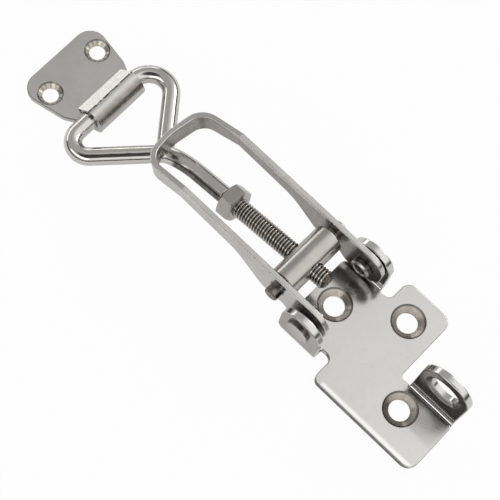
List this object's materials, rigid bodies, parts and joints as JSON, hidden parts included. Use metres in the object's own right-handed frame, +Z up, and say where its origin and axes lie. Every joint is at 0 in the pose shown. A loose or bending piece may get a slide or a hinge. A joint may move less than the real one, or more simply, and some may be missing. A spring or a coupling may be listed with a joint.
{
  "type": "over centre toggle latch",
  "caption": "Stainless over centre toggle latch, open: a looped lever on a screw plate with a padlock eye pulls a threaded wire bail that is hooked in the curl of a small catch plate.",
  "frame": {"origin": "centre of the neck screw hole of the base plate, on the plate's seat", "axes": "+X along the latch from the catch to the padlock eye, +Z up out of the seat, +Y across, to the side of the wing"},
  "size_m": [0.1668, 0.0459, 0.0266],
  "materials": {
    "base_plate": "satin polished stainless",
    "rivet": "satin stainless",
    "lever": "satin stainless, cross grained edges",
    "barrel": "turned stainless",
    "bail": "polished stainless",
    "lock_nut": "satin stainless",
    "catch_plate": "satin stainless"
  },
  "bodies": {
    "base": {"base_plate": "base_plate", "pivot_rivet_left": "rivet", "pivot_rivet_right": "rivet"},
    "lever": {"lever": "lever"},
    "barrel": {"barrel": "barrel"},
    "bail": {"bail": "bail"},
    "nut": {"lock_nut": "lock_nut"},
    "catch": {"catch_plate": "catch_plate"}
  },
  "joints": [
    {"name": "lever_swing", "type": "hinge", "parent": "base", "child": "lever", "pos_m": [-0.0012, 0, 0.013], "axis": [0, 1, 0], "range_deg": [0, 180]},
    {"name": "barrel_turn", "type": "hinge", "parent": "lever", "child": "barrel", "pos_m": [-0.01385, 0, 0.0155], "axis": [0, 1, 0], "range_deg": [-177, 0]},
    {"name": "rod_adjust", "type": "slide", "parent": "barrel", "child": "bail", "axis": [0.9882, 0, 0.153], "range_m": [-0.005, 0.006]},
    {"name": "nut_travel", "type": "slide", "parent": "bail", "child": "nut", "axis": [0.9882, 0, 0.153], "range_m": [-0.0005, 0.0145]},
    {"name": "catch_swing", "type": "hinge", "parent": "bail", "child": "catch", "pos_m": [-0.09285, -0.0022, 0.00505], "axis": [-0.0349, 0.9994, 0], "range_deg": [-100, 110]}
  ],
  "couplings": [
    {"joint": "barrel_turn", "follows": "lever_swing", "ratio": -0.98}
  ]
}
